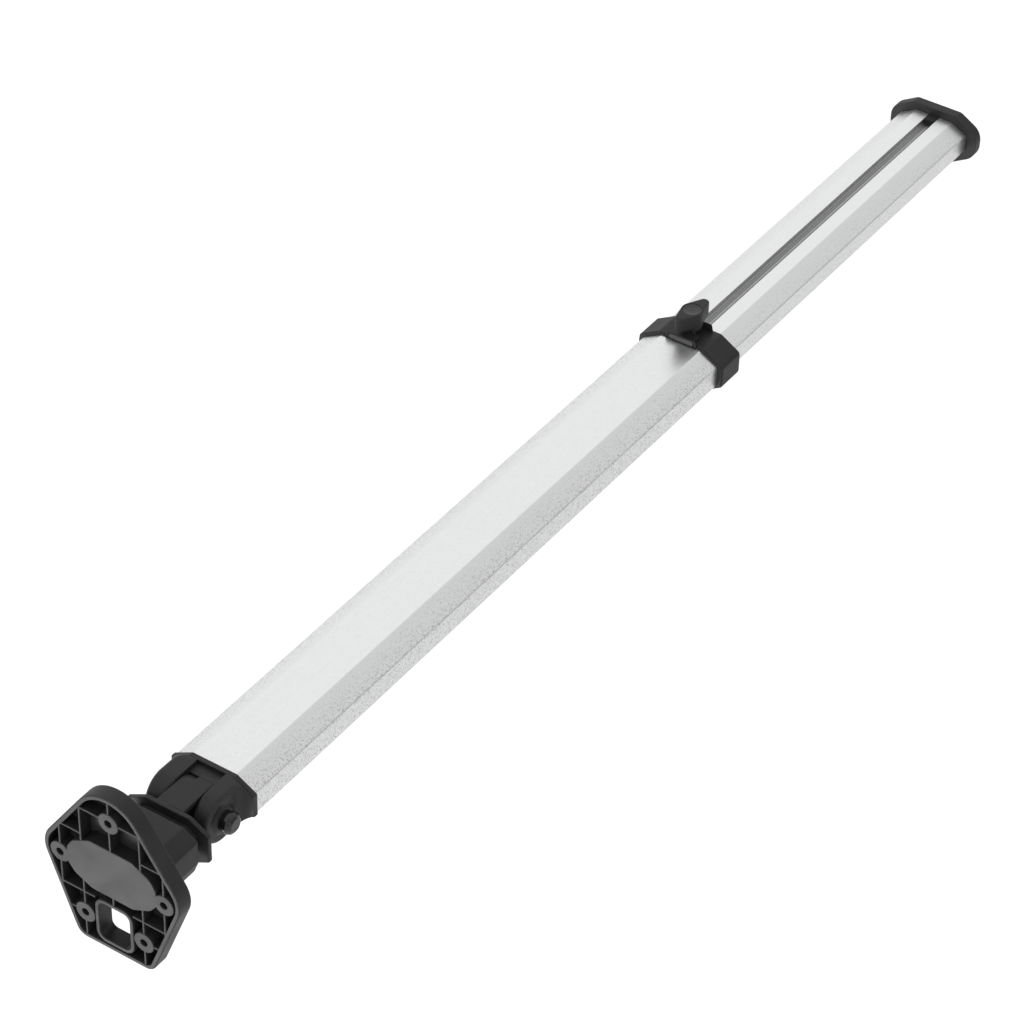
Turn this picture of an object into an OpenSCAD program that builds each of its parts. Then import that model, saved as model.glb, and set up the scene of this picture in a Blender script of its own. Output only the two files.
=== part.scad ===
// Telescoping cargo bar with a screw-down hinged foot.
// X runs along the bar from the foot's mounting face (x = 0) to the end pad.
// Z is up, out of the wide face that carries the clamping knob. Y is across the bar.

/* [Bar] */
// Length over all, from the foot's mounting face to the end pad's face
total_len = 1063; // [1000:1:1120]
// Width of the outer tube
tube_w = 65; // [65:1:66]
// Height of the outer tube
tube_h = 34.5; // [34.5:0.5:35.5]
// Wall thickness of both tubes
tube_wall = 1.8; // [1.6:0.1:1.8]
// Where the outer tube starts
tube_start = 107; // [107:1:109]
// Where the outer tube ends, inside the collar
tube_end = 692; // [640:1:692]
// Length of inner tube hidden in the outer one
overlap = 182; // [160:1:185]

/* [Foot] */
// Depth of the ribbed foot plate
plate_depth = 12.5; // [11:0.5:14]
// Thickness of the plate's outer rim
rim = 3.4; // [2.5:0.1:4]
// Thickness of the ribs
rib = 1.6; // [1.2:0.1:2.2]
// Diameter of the screw holes
screw_hole_d = 5.5; // [4.5:0.1:6]
// Diameter of the screw bosses
boss_d = 16; // [13:0.5:17]
// Width of the eye for a strap, inside
eye_in = 25; // [22:0.5:26]

/* [Hinge] */
// Where the hinge pin crosses the bar
pin_x = 83; // [83:0.5:84]
// Diameter of the hinge pin
pin_d = 10; // [8:0.5:10]
// Radius of the fork's ears
ear_r = 18; // [17.5:0.5:18.5]
// Width over the fork's ears
fork_w = 49; // [48:1:50]
// Width of the tongue between the ears
tongue_w = 22; // [20:1:24]

/* [Clamp] */
// Where the clamping screw stands
screw_x = 682; // [670:1:682]
// Diameter of the clamping screw
screw_d = 8; // [6:1:8]
// Span of the knob's wings
wing_span = 35; // [30:1:36]
// Angle of the wings to the bar
wing_angle = -8; // [-20:1:20]

/* [Hidden] */
$fn = 48;
arc_steps = 8;

plastic = [0.20, 0.20, 0.21];
aluminium = [0.88, 0.89, 0.90];
steel = [0.55, 0.56, 0.58];

run_gap = 0.3;       // between faces that slide past each other
pin_gap = 0.05;      // radial clearance of a shaft in its hole
tiny = 0.01;

// Corners of the foot's outline before rounding: [across, up, radius]
apex = [0, 89, 27.4];
shoulder = [57, 5.4, 22.4];
heel = [30, -66.3, 9];
outline = [apex, shoulder, heel, flip(heel), flip(shoulder)];
floor_t = 2.5;       // wall that closes the back of the plate
top_hole_z = 47.1;
side_hole_y = 41.7;
low_hole = [23.7, -43.5];
rib_ys = [23.8, 41.5]; // upright ribs on each side of the middle one
low_rib_z = -70;
top_rib_z = 48;
side_rib_z = 25.5;   // short level ribs, above and below the side bosses
rib_root = 0.3;      // how far behind the mounting face the ribs stop
// Half of the pad's outline in the middle of the plate, from the top down: [across, up, radius]
pad_half = [
  [17, 23.4, 7], [31.5, 15.6, 12], [35.8, 8, 3.5],
  [35.8, -4.5, 3.5], [30.5, -11.6, 10], [16.5, -18.4, 7]
];
eye_top = -27.4;
eye_bottom = -58.6;
eye_wall = 3;
eye_r = 5;

// Neck behind the plate, groove, flange and tongue
neck_end = 50;
flange_start = 56.5;
flange_end = 60;
neck = [[19.3, 16.3], [30.6, 10.1], [30.6, -8], [26.6, -18.7]];
neck_core = [[16, 10.5], [24, 6], [24, -6], [20, -13]];
flange_w = tube_w + 1.5;
flange_low = -13;    // the flange reaches lower than the tube

// Tongue and knuckle
knuckle_r = ear_r - 1.6;
step_end = pin_x + 8.5;
step_y = 1.5;
step_top = 17.2;
bush_r = pin_d / 2 + 1.5;
bush_flange_r = 10;
bush_flange_t = 1.2;
bush_recess = 1;

// Fork
slot_w = tongue_w + 1;
rim_start = 103.5;
slot_end = rim_start - 0.2;
rim_w = tube_w + 2.5;
rim_h = tube_h + 0.6;
ear_chamfer = [6.5, 3.6];
flare_r = 10;        // hollow curve from the ears out to the rim
plug_len = 38;
cell_y = 13.2;       // two hollow cells in the plug
cell_half = 10.4;
cell_wall = 3.4;
ear_boss_r = 11.5;
ear_boss_t = 1.5;
nut_boss_r = 15.5;   // boss round the nut's recess
nut_boss_t = 2.2;
shelf_start = 94;    // shelf between the ears, above the knuckle
shelf_top = 14.2;
shelf_low = 11;
stop_end = 96;
stop_top = 16;
pin_head_d = 14;
pin_head_t = 8.5;
washer_t = 1.5;
nut_t = 5;
nut_d = 15;
nut_recess_r = 10.4;
nut_recess = washer_t + nut_t + 0.5;

// Octagon corners: how much each corner cuts off across and up
cut_y = 15.5;
cut_z = 8.5;
inner_w = tube_w - 4.4;
inner_h = tube_h - 4.6;
inner_cut = [13.9, 7.5];
bore_w = tube_w - 2 * tube_wall;
bore_h = tube_h - 2 * tube_wall;
groove_w = 9.6;
groove_d = 5;
groove_wall = 1.6;
inner_start = tube_end - overlap;
pad_start = total_len - 9;
insert_h = 16;       // height that clears the groove walls inside the inner tube
insert_w = 52;
plug_base_t = 2;
plug_base_w = inner_w - 0.6;
plug_base_h = inner_h - 0.4;
glide_len = 12;
stop_x = 590;

// Collar and clamp
collar_start = 668;
collar_end = 694;
collar_w = tube_w + 9;
collar_h = tube_h + 3.7;
boss_top = 24.5;
boss_half = 12;
boss_foot = 17;
boss_end = 693;
plate_w = 20;
plate_t = 4;
plate_z = 18.1;
shoe_t = 3.5;
shoe_len = 20;
shoe_z = inner_h / 2 - groove_d + 0.35;
screw_tip = shoe_z + shoe_t + run_gap;
screw_top = 36;
knob_z = 25;
knob_top = 40;
hub_r = 8.5;
wing_tip_r = 4;
wing_tip_h = 12;
cap_r = 7.2;
cap_t = 1.2;

// End pad
end_w = 79;
end_h = 44;
end_drop = 0.6;      // the pad sits a little low on the tube
end_cut = [19.7, 11.5];
end_screw_y = 17;

function flip(c) = [-c.x, c.y, c[2]];
function unit(v) = v / norm(v);

// Octagon, w wide and h high, that loses c.x across and c.y up at each corner
function octagon(w, h, c) = [
  [w / 2, -h / 2 + c.y], [w / 2, h / 2 - c.y], [w / 2 - c.x, h / 2], [-w / 2 + c.x, h / 2],
  [-w / 2, h / 2 - c.y], [-w / 2, -h / 2 + c.y], [-w / 2 + c.x, -h / 2], [w / 2 - c.x, -h / 2]
];

// A half outline, listed from the top down, and its mirror image
function both_sides(half) = concat(half, [for (i = [len(half) - 1:-1:0]) [-half[i].x, half[i].y]]);

// The flange's outline: an octagon whose lower half is deeper
function flange_half() = [
  [flange_w / 2 - cut_y, tube_h / 2], [flange_w / 2, tube_h / 2 - cut_z],
  [flange_w / 2, flange_low], [flange_w / 2 - cut_y, flange_low - cut_z]
];

// The arc that rounds corner q, between its neighbours p and s
function corner_arc(p, q, s, r) =
  let (a = unit(p - q))
  let (b = unit(s - q))
  let (half = acos(a * b) / 2)
  let (centre = q + unit(a + b) * r / sin(half))
  let (from = q + a * r / tan(half) - centre)
  let (to = q + b * r / tan(half) - centre)
  let (start = atan2(from.y, from.x))
  let (sweep = (atan2(to.y, to.x) - start + 540) % 360 - 180)
  let (turn = sweep / arc_steps)
  [for (i = [0:arc_steps]) centre + r * [cos(start + i * turn), sin(start + i * turn)]];

// A closed outline with every corner [x, y, radius] rounded
function rounded(c) = [
  for (i = [0:len(c) - 1])
    let (p = c[(i + len(c) - 1) % len(c)])
    let (s = c[(i + 1) % len(c)])
    each corner_arc([p.x, p.y], [c[i].x, c[i].y], [s.x, s.y], c[i][2])
];

// The same corners moved inwards by t, so the rounded outline keeps a wall of t
function inset(c, t) = [
  for (i = [0:len(c) - 1])
    let (p = c[(i + len(c) - 1) % len(c)])
    let (s = c[(i + 1) % len(c)])
    let (q = [c[i].x, c[i].y])
    let (a = unit([p.x, p.y] - q))
    let (b = unit([s.x, s.y] - q))
    let (half = acos(a * b) / 2)
    let (moved = q + unit(a + b) * t / sin(half))
    [moved.x, moved.y, max(c[i][2] - t, 1)]
];

// Corners of the eye's outline, t outside its opening
function eye_corners(t) = [
  [eye_in / 2 + t, eye_bottom - t, eye_r + t], [eye_in / 2 + t, eye_top + t, eye_r + t],
  [-eye_in / 2 - t, eye_top + t, eye_r + t], [-eye_in / 2 - t, eye_bottom - t, eye_r + t]
];

// Corners of the pad's outline, all the way round
function pad_outline() = concat(pad_half, [for (i = [len(pad_half) - 1:-1:0]) flip(pad_half[i])]);

// Extrudes a section, drawn as [across, up], along the bar from x
module along_x(x, length) {
  translate([x, 0, 0]) rotate([90, 0, 90]) linear_extrude(length) children();
}

// A round bar along the hinge axis, from y
module along_y(y, length, r) {
  translate([pin_x, y, 0]) rotate([-90, 0, 0]) cylinder(r = r, h = length);
}

// A box from one corner to the opposite one
module box(from, to) {
  translate(from) cube(to - from);
}

module for_foot_holes() {
  for (p = [[0, top_hole_z], [side_hole_y, 0], [-side_hole_y, 0], low_hole, [-low_hole.x, low_hole.y]])
    translate([0, p.x, p.y]) rotate([0, 90, 0]) children();
}

// Rib that runs up the plate at y, from z to the top
module upright_rib(y, z) {
  box([rib_root, y - rib / 2, z], [plate_depth, y + rib / 2, apex.y]);
}

// Rib that runs across the plate at z, half wide on each side of y
module level_rib(y, half, z) {
  box([rib_root, y - half, z - rib / 2], [plate_depth, y + half, z + rib / 2]);
}

// Ribs of the foot plate, before they are trimmed to the outline
module foot_ribs() {
  for (s = [-1, 1], y = rib_ys) upright_rib(s * y, low_rib_z);
  upright_rib(0, eye_top + 1);
  level_rib(0, rib_ys[0], top_rib_z);
  for (s = [-1, 1]) {
    level_rib(s * (rib_ys[0] + rib_ys[1]) / 2, 9, side_rib_z);
    level_rib(s * 29, 14, -side_rib_z);
    level_rib(s * 31, 7, low_hole.y);
  }
}

module foot_plate() {
  difference() {
    along_x(0, plate_depth) polygon(rounded(outline));
    along_x(-1, plate_depth - floor_t + 1) polygon(rounded(inset(outline, rim)));
  }
  intersection() {
    along_x(0, plate_depth) polygon(rounded(inset(outline, rim / 2)));
    union() {
      foot_ribs();
      for_foot_holes() cylinder(d = boss_d, h = plate_depth);
      along_x(0, plate_depth) polygon(rounded(eye_corners(eye_wall)));
      along_x(0, plate_depth) polygon(rounded(pad_outline()));
    }
  }
}

// Knuckle of the hinge, with a step on top that meets the housing's stop when the bar is straight
module foot_tongue() {
  half = tongue_w / 2;
  box([flange_end - tiny, -half, -knuckle_r], [pin_x, half, knuckle_r]);
  along_y(-half, tongue_w, knuckle_r);
  box([flange_end - tiny, -half, 0], [step_end, step_y, step_top]);
}

module foot_base() {
  color(plastic)
    difference() {
      union() {
        foot_plate();
        along_x(plate_depth - tiny, neck_end - plate_depth + tiny) polygon(both_sides(neck));
        along_x(neck_end - tiny, flange_start - neck_end + 2 * tiny) polygon(both_sides(neck_core));
        along_x(flange_start, flange_end - flange_start) polygon(both_sides(flange_half()));
        foot_tongue();
      }
      for_foot_holes() translate([0, 0, -1]) cylinder(d = screw_hole_d, h = plate_depth + 2);
      along_x(-1, plate_depth + 2) polygon(rounded(eye_corners(0)));
      along_y(-tongue_w, 2 * tongue_w, bush_r);
      along_y(-tongue_w / 2 - 1, bush_recess + 1, bush_flange_r);
      along_y(tongue_w / 2 - bush_recess, bush_recess + 1, bush_flange_r);
    }
}

// Flanged bush pressed into one side of the tongue; side is -1 or 1
module bush(side) {
  seat = tongue_w / 2 - bush_recess;
  color(steel)
    difference() {
      union() {
        along_y(side > 0 ? 0.2 : -seat, seat - 0.2, bush_r);
        along_y(side > 0 ? seat : -seat - bush_flange_t, bush_flange_t, bush_flange_r);
      }
      along_y(-tongue_w, 2 * tongue_w, pin_d / 2 + pin_gap);
    }
}

module bush_left() {
  bush(1);
}

module bush_right() {
  bush(-1);
}

// Round-headed pin through both ears, threaded at its far end
module hinge_pin() {
  face = fork_w / 2 + ear_boss_t;
  color([0.08, 0.08, 0.09]) {
    along_y(-face - tiny, face + fork_w / 2 - 0.5 + tiny, pin_d / 2);
    along_y(-face - pin_head_t, pin_head_t, pin_head_d / 2);
  }
}

module pin_washer() {
  color(steel)
    difference() {
      along_y(fork_w / 2 - nut_recess, washer_t, pin_d);
      along_y(0, fork_w, pin_d / 2);
    }
}

module pin_nut() {
  color(steel)
    difference() {
      translate([pin_x, fork_w / 2 - nut_recess + washer_t, 0]) rotate([-90, 0, 0])
        cylinder(d = nut_d * 2 / sqrt(3), h = nut_t, $fn = 6);
      along_y(0, fork_w, pin_d / 2);
    }
}

// Plan of one hollow flare, from the ear's side out to the rim; side is -1 or 1
module flare_plan(side) {
  foot = fork_w / 2 - 1;
  polygon(concat(
    [[rim_start + tiny, side * foot], [rim_start - flare_r, side * foot]],
    [for (i = [0:arc_steps])
      let (a = 90 * i / arc_steps)
      [rim_start - flare_r * cos(a), side * (foot + 1 + flare_r * (1 - sin(90 - a)))]],
    [[rim_start + tiny, side * (foot + 1 + flare_r)]]
  ));
}

// Two ears, an eight-sided rim that the tube butts against, and a plug inside the tube
module hinge_housing() {
  side_y = fork_w / 2;
  rim_cut = [cut_y, cut_z];
  color(plastic)
    difference() {
      union() {
        hull() {
          along_y(-side_y, fork_w, ear_r);
          along_x(rim_start - 1, 1) polygon(octagon(fork_w, rim_h, ear_chamfer));
        }
        intersection() {
          along_x(pin_x, rim_start - pin_x + tiny) polygon(octagon(rim_w, rim_h, rim_cut));
          for (side = [-1, 1]) translate([0, 0, -rim_h]) linear_extrude(2 * rim_h) flare_plan(side);
        }
        along_y(-side_y - ear_boss_t, fork_w / 2, ear_boss_r);
        along_y(side_y - 1, nut_boss_t + 1, nut_boss_r);
        along_x(rim_start, tube_start - rim_start) polygon(octagon(rim_w, rim_h, rim_cut));
        along_x(tube_start - tiny, plug_len) polygon(octagon(bore_w - 0.2, bore_h - 0.2, [14.3, 7.9]));
      }
      difference() {
        box([0, -slot_w / 2, -40], [slot_end, slot_w / 2, 40]);
        shelf();
      }
      for (y = [-cell_y, cell_y])
        box([tube_start + cell_wall, y - cell_half, cell_wall - bore_h / 2 + 1],
            [tube_start + plug_len + 1, y + cell_half, bore_h / 2 - cell_wall]);
      along_y(-fork_w, 2 * fork_w, pin_d / 2);
      along_y(side_y - nut_recess, fork_w, nut_recess_r);
      for_housing_screws() cylinder(r = 2, h = 10);
    }
}

// Shelf that closes the top of the slot over the knuckle, with the stop that the step meets
module shelf() {
  difference() {
    union() {
      box([shelf_start, -slot_w / 2 - 1, shelf_low], [slot_end + 1, slot_w / 2 + 1, shelf_top]);
      box([step_end + run_gap, -slot_w / 2 - 1, shelf_low], [stop_end, step_y - run_gap, stop_top]);
    }
    along_y(-slot_w, 2 * slot_w, knuckle_r + run_gap);
  }
}

module for_housing_screws() {
  for (y = [-13, 13]) translate([tube_start + 24, y, -tube_h / 2]) children();
}

// Pan-headed screw, driven upwards into the underside; a radius and a length for its shank
module pan_screw(r, length) {
  cylinder(r = r, h = length);
  difference() {
    translate([0, 0, -2.4]) cylinder(r = 2 * r, h = 2.4);
    for (a = [0, 90]) rotate([0, 0, a]) translate([-r, -0.4, -2.5]) cube([2 * r, 0.8, 1.3]);
  }
}

module housing_screws() {
  color(steel) for_housing_screws() pan_screw(2, 6);
}

module outer_tube() {
  color(aluminium)
    difference() {
      along_x(tube_start, tube_end - tube_start) polygon(octagon(tube_w, tube_h, [cut_y, cut_z]));
      along_x(tube_start - 1, tube_end - tube_start + 2) polygon(octagon(bore_w, bore_h, [14.16, 7.77]));
      for_housing_screws() translate([0, 0, -1]) cylinder(r = 2.2, h = 8);
      for_collar_screws() translate([0, 0, -1]) cylinder(r = 1.75, h = 8);
      translate([screw_x, 0, 0]) cylinder(d = screw_d + 1.2, h = tube_h);
      translate([stop_x, 0, -tube_h]) cylinder(r = 2.5, h = tube_h);
    }
}

// Rivet whose shank stands in the inner tube's lower groove and stops it pulling out
module stop_rivet() {
  color(steel)
    translate([stop_x, 0, -tube_h / 2 - 1.6]) {
      cylinder(r = 5, h = 1.6);
      cylinder(r = 2.5, h = 1.6 + tube_wall + 4);
    }
}

module for_collar_screws() {
  for (y = [-12, 12]) translate([screw_x - 2, y, -collar_h / 2]) children();
}

module collar() {
  color(plastic)
    difference() {
      union() {
        along_x(collar_start, collar_end - collar_start)
          polygon(octagon(collar_w, collar_h, [cut_y + 1, cut_z + 1]));
        along_x(collar_start, boss_end - collar_start)
          polygon(both_sides([[boss_half, boss_top], [boss_half + 2, boss_foot]]));
      }
      along_x(collar_start - 1, tube_end - collar_start + 1)
        polygon(octagon(tube_w + 0.1, tube_h + 0.1, [cut_y, cut_z]));
      along_x(collar_start, 50) polygon(octagon(inner_w + 0.8, inner_h + 0.9, [14.1, 7.7]));
      box([collar_start - 1, -plate_w / 2 - 0.1, plate_z - 0.1],
          [tube_end, plate_w / 2 + 0.1, plate_z + plate_t + 0.1]);
      translate([screw_x, 0, 0]) cylinder(d = screw_d + 1.2, h = 40);
      for_collar_screws() translate([0, 0, -1]) cylinder(r = 1.75, h = 8);
    }
}

module collar_screws() {
  color(steel) for_collar_screws() pan_screw(1.75, 3.4);
}

// Steel plate that slides into the collar's boss and carries the screw's thread
module nut_plate() {
  color(steel)
    difference() {
      box([collar_start - 0.6, -plate_w / 2, plate_z], [tube_end - 0.5, plate_w / 2, plate_z + plate_t]);
      translate([screw_x, 0, 0]) cylinder(r = screw_d / 2 + pin_gap, h = 40);
    }
}

// Pressure shoe that lies in the inner tube's groove
module clamp_shoe() {
  half = groove_w / 2 - 0.4;
  color(steel) box([screw_x - shoe_len / 2, -half, shoe_z], [screw_x + shoe_len / 2, half, shoe_z + shoe_t]);
}

module clamp_screw() {
  color(steel) translate([screw_x, 0, screw_tip]) cylinder(d = screw_d, h = screw_top - screw_tip);
}

// Knob whose two wings run out from the hub in straight tangents
module wing_knob() {
  reach = wing_span / 2 - wing_tip_r;
  color(plastic)
    translate([screw_x, 0, 0]) rotate([0, 0, wing_angle])
      difference() {
        union() {
          translate([0, 0, knob_z]) cylinder(r = hub_r - 0.4, h = knob_top - knob_z - 1);
          translate([0, 0, knob_top - wing_tip_h]) linear_extrude(wing_tip_h)
            hull() {
              circle(hub_r);
              for (s = [-1, 1]) translate([s * reach, 0]) circle(wing_tip_r);
            }
        }
        translate([0, 0, knob_z - 1]) cylinder(d = screw_d, h = screw_top - knob_z + 1);
        translate([0, 0, knob_top - cap_t]) cylinder(r = cap_r + 0.1, h = cap_t + 1);
      }
}

module knob_cap() {
  color([0.3, 0.3, 0.31]) translate([screw_x, 0, knob_top - cap_t]) cylinder(r = cap_r, h = cap_t - 0.2);
}

// Section of the inner tube: an octagon with a walled groove in its top and bottom
module inner_section() {
  difference() {
    polygon(octagon(inner_w, inner_h, inner_cut));
    difference() {
      polygon(octagon(inner_w - 2 * tube_wall, inner_h - 2 * tube_wall, inner_cut - [1.2, 0.8]));
      for (s = [-1, 1]) groove_box(s, groove_w + 2 * groove_wall, groove_d + groove_wall);
    }
    for (s = [-1, 1]) groove_box(s, groove_w, groove_d);
  }
}

module groove_box(side, w, depth) {
  translate([0, side * inner_h / 2]) square([w, 2 * depth], center = true);
}

module inner_tube() {
  color(aluminium) along_x(inner_start, pad_start - inner_start) inner_section();
}

// Plug on the hidden end, which slides on the outer tube's wall and meets the stop rivet
module glide_plug() {
  color(plastic) {
    along_x(inner_start - glide_len, glide_len) polygon(octagon(bore_w - 0.6, bore_h - 0.6, [14.2, 7.8]));
    box([inner_start - tiny, -insert_w / 2, -insert_h / 2], [inner_start + 18, insert_w / 2, insert_h / 2]);
  }
}

// Plug in the visible end: a base let into the pad, an insert, and a tongue in the end of each groove
module end_plug() {
  groove_fill = groove_w / 2 - 0.1;
  fill_low = inner_h / 2 - groove_d + 0.1;
  fill_high = inner_h / 2 - 0.2;
  color(plastic)
    difference() {
      union() {
        along_x(pad_start, plug_base_t) polygon(octagon(plug_base_w, plug_base_h, inner_cut));
        box([pad_start - 24, -insert_w / 2, -insert_h / 2], [pad_start + tiny, insert_w / 2, insert_h / 2]);
        box([pad_start - 8, -groove_fill, fill_low], [pad_start + tiny, groove_fill, fill_high]);
        box([pad_start - 8, -groove_fill, -fill_high], [pad_start + tiny, groove_fill, -fill_low]);
      }
      for_end_screws() translate([0, 0, -30]) cylinder(r = 2, h = 40);
    }
}

module for_end_screws() {
  for (y = [-end_screw_y, end_screw_y]) translate([total_len - 2.5, y, 0]) rotate([0, 90, 0]) children();
}

module end_pad() {
  color(plastic)
    difference() {
      translate([0, 0, -end_drop])
        along_x(pad_start, total_len - pad_start) polygon(octagon(end_w, end_h, end_cut));
      along_x(pad_start - 1, plug_base_t + 1) polygon(octagon(plug_base_w, plug_base_h, inner_cut));
      for_end_screws() translate([0, 0, -30]) cylinder(r = 2.1, h = 40);
      for_end_screws() translate([0, 0, -2.5]) cylinder(r = 4.2, h = 40);
    }
}

module end_screws() {
  color(steel) for_end_screws() rotate([180, 0, 0]) pan_screw(2, 22);
}

foot_base();
bush_left();
bush_right();
hinge_pin();
pin_washer();
pin_nut();
hinge_housing();
housing_screws();
outer_tube();
stop_rivet();
collar();
collar_screws();
nut_plate();
clamp_shoe();
clamp_screw();
wing_knob();
knob_cap();
inner_tube();
glide_plug();
end_plug();
end_pad();
end_screws();
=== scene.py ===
from math import radians

import bmesh
import bpy
import numpy as np
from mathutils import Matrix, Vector
from mathutils.geometry import delaunay_2d_cdt


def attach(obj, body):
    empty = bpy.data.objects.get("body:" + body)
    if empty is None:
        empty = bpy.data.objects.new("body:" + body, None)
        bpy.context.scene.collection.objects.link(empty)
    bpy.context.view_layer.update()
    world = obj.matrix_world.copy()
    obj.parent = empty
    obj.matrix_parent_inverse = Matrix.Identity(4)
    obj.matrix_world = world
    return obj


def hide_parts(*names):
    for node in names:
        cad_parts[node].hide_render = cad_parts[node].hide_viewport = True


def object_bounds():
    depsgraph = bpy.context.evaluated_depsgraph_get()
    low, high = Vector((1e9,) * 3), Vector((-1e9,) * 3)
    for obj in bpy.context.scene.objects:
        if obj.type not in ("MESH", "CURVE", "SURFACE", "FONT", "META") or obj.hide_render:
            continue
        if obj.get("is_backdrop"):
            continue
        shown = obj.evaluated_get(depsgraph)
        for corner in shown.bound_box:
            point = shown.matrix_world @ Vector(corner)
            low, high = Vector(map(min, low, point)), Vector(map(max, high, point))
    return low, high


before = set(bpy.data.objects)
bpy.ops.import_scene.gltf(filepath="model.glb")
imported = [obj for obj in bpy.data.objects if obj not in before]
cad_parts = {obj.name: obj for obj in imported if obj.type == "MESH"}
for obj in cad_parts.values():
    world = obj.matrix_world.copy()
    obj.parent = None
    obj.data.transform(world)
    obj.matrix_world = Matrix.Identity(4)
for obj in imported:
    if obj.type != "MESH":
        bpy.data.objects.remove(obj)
cad_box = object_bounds()
scene = bpy.context.scene

# ---------------------------------------------------------------- camera, light and floor
# A long lens looks down along the bar from the foot's corner.
# A bright room all round, dimmer to the right, two soft boxes in front, a small one for glints on
# the glossy pin, and a pale floor far below.

camera = bpy.data.objects.new("camera", bpy.data.cameras.new("camera"))
scene.collection.objects.link(camera)
scene.camera = camera
camera.location = (-1.2374, -1.1048, 1.6386)
camera.rotation_euler = (radians(50.886), radians(-1.23), radians(-55.729))
camera.data.sensor_width = 36
camera.data.lens = 129.3
camera.data.clip_end = 60

scene.view_settings.view_transform = "Standard"
scene.view_settings.look = "None"

world = bpy.data.worlds.new("studio")
scene.world = world
world.use_nodes = True
sky = world.node_tree.nodes["Background"]
sky.inputs["Color"].default_value = (1, 1, 1, 1)
sky_tree = world.node_tree
paths = sky_tree.nodes.new("ShaderNodeLightPath")
towards = sky_tree.nodes.new("ShaderNodeSeparateXYZ")
sky_tree.links.new(sky_tree.nodes.new("ShaderNodeTexCoord").outputs["Generated"], towards.inputs["Vector"])


def ramp(value, span, result):
    """Straight ramp of an output's value over a span to a result's two ends."""
    made = sky_tree.nodes.new("ShaderNodeMapRange")
    sky_tree.links.new(value, made.inputs["Value"])
    for socket, end in zip(("From Min", "From Max", "To Min", "To Max"), (*span, *result)):
        if isinstance(end, bpy.types.NodeSocket):
            sky_tree.links.new(end, made.inputs[socket])
        else:
            made.inputs[socket].default_value = end
    return made.outputs["Result"]


# The room is dimmer to the right (-Y), and dimmer still low down there, as beside a dark curtain
ROOM, RIGHT, CURTAIN, BACKDROP = 0.90, 0.62, 0.30, 1.05
right_side = ramp(towards.outputs["Z"], (0.05, 0.55), (CURTAIN, RIGHT))
room = ramp(towards.outputs["Y"], (-0.45, 0.30), (right_side, ROOM))
sky_tree.links.new(ramp(paths.outputs["Is Camera Ray"], (0, 1), (room, BACKDROP)), sky.inputs["Strength"])


def soft_box(name, place, aim, size, watts):
    """A square lamp at place that faces the point aim."""
    lamp = bpy.data.objects.new(name, bpy.data.lights.new(name, "AREA"))
    scene.collection.objects.link(lamp)
    lamp.location = place
    away = lamp.location - Vector(aim)
    lamp.rotation_euler = away.to_track_quat("Z", "Y").to_euler()
    lamp.visible_camera = False
    lamp.data.size = size
    lamp.data.energy = watts


soft_box("low_box", (-0.85, 0.56, -0.83), (0, 0, 0), 0.9, 7.5)
soft_box("front_box", (-2.6, -0.3, 0.3), (0.1, 0, 0), 1.4, 11)
soft_box("glint_box", (-0.385, -1.10, 0.30), (0.083, -0.03, 0), 0.10, 0.6)

floor_mesh = bpy.data.meshes.new("floor")
FLOOR_HALF, FLOOR_Z = 30.0, -1.3
floor_mesh.from_pydata(
    [(x * FLOOR_HALF, y * FLOOR_HALF, FLOOR_Z) for x, y in ((-1, -1), (1, -1), (1, 1), (-1, 1))],
    [], [(0, 1, 2, 3)])
floor = bpy.data.objects.new("floor", floor_mesh)
scene.collection.objects.link(floor)
floor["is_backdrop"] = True
floor_paint = bpy.data.materials.new("floor_paint")
floor_paint.use_nodes = True
paint = floor_paint.node_tree.nodes["Principled BSDF"]
paint.inputs["Base Color"].default_value = (0.62, 0.62, 0.62, 1)
paint.inputs["Roughness"].default_value = 1.0
paint.inputs["Specular IOR Level"].default_value = 0.0
paint.inputs["Emission Color"].default_value = (1, 1, 1, 1)
floor_paths = floor_paint.node_tree.nodes.new("ShaderNodeLightPath")
glow = floor_paint.node_tree.nodes.new("ShaderNodeMapRange")
glow.inputs["To Min"].default_value, glow.inputs["To Max"].default_value = 0.28, 0.60
floor_paint.node_tree.links.new(floor_paths.outputs["Is Camera Ray"], glow.inputs["Value"])
floor_paint.node_tree.links.new(glow.outputs["Result"], paint.inputs["Emission Strength"])
floor_mesh.materials.append(floor_paint)

# ---------------------------------------------------------------- foot plate
# One black moulding in glass-filled nylon, as it comes out of the tool, with a fine spark-eroded grain.
# Its plate is a shallow tray: a rounded rim, thin ribs, five screw bosses, an eight-sided pad and an
# eye for a strap.

APEX, SHOULDER, HEEL = (0, 89, 27.4), (57, 5.4, 22.4), (30, -66.3, 9)
PLATE = [APEX, (-57, 5.4, 22.4), (-30, -66.3, 9), HEEL, SHOULDER]
DEPTH, RIM, FLOOR = 12.5, 3.4, 10.0
HOLES = [(0, 47.1), (41.7, 0), (-41.7, 0), (23.7, -43.5), (-23.7, -43.5)]
HOLE_R, BOSS_R, RIB = 2.75, 8.0, 1.6
EYE = [(12.5, -58.6, 5), (12.5, -27.4, 5), (-12.5, -27.4, 5), (-12.5, -58.6, 5)]


def unit(v):
    """Each row divided by its own length."""
    return v / np.linalg.norm(v, axis=-1, keepdims=True)


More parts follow.
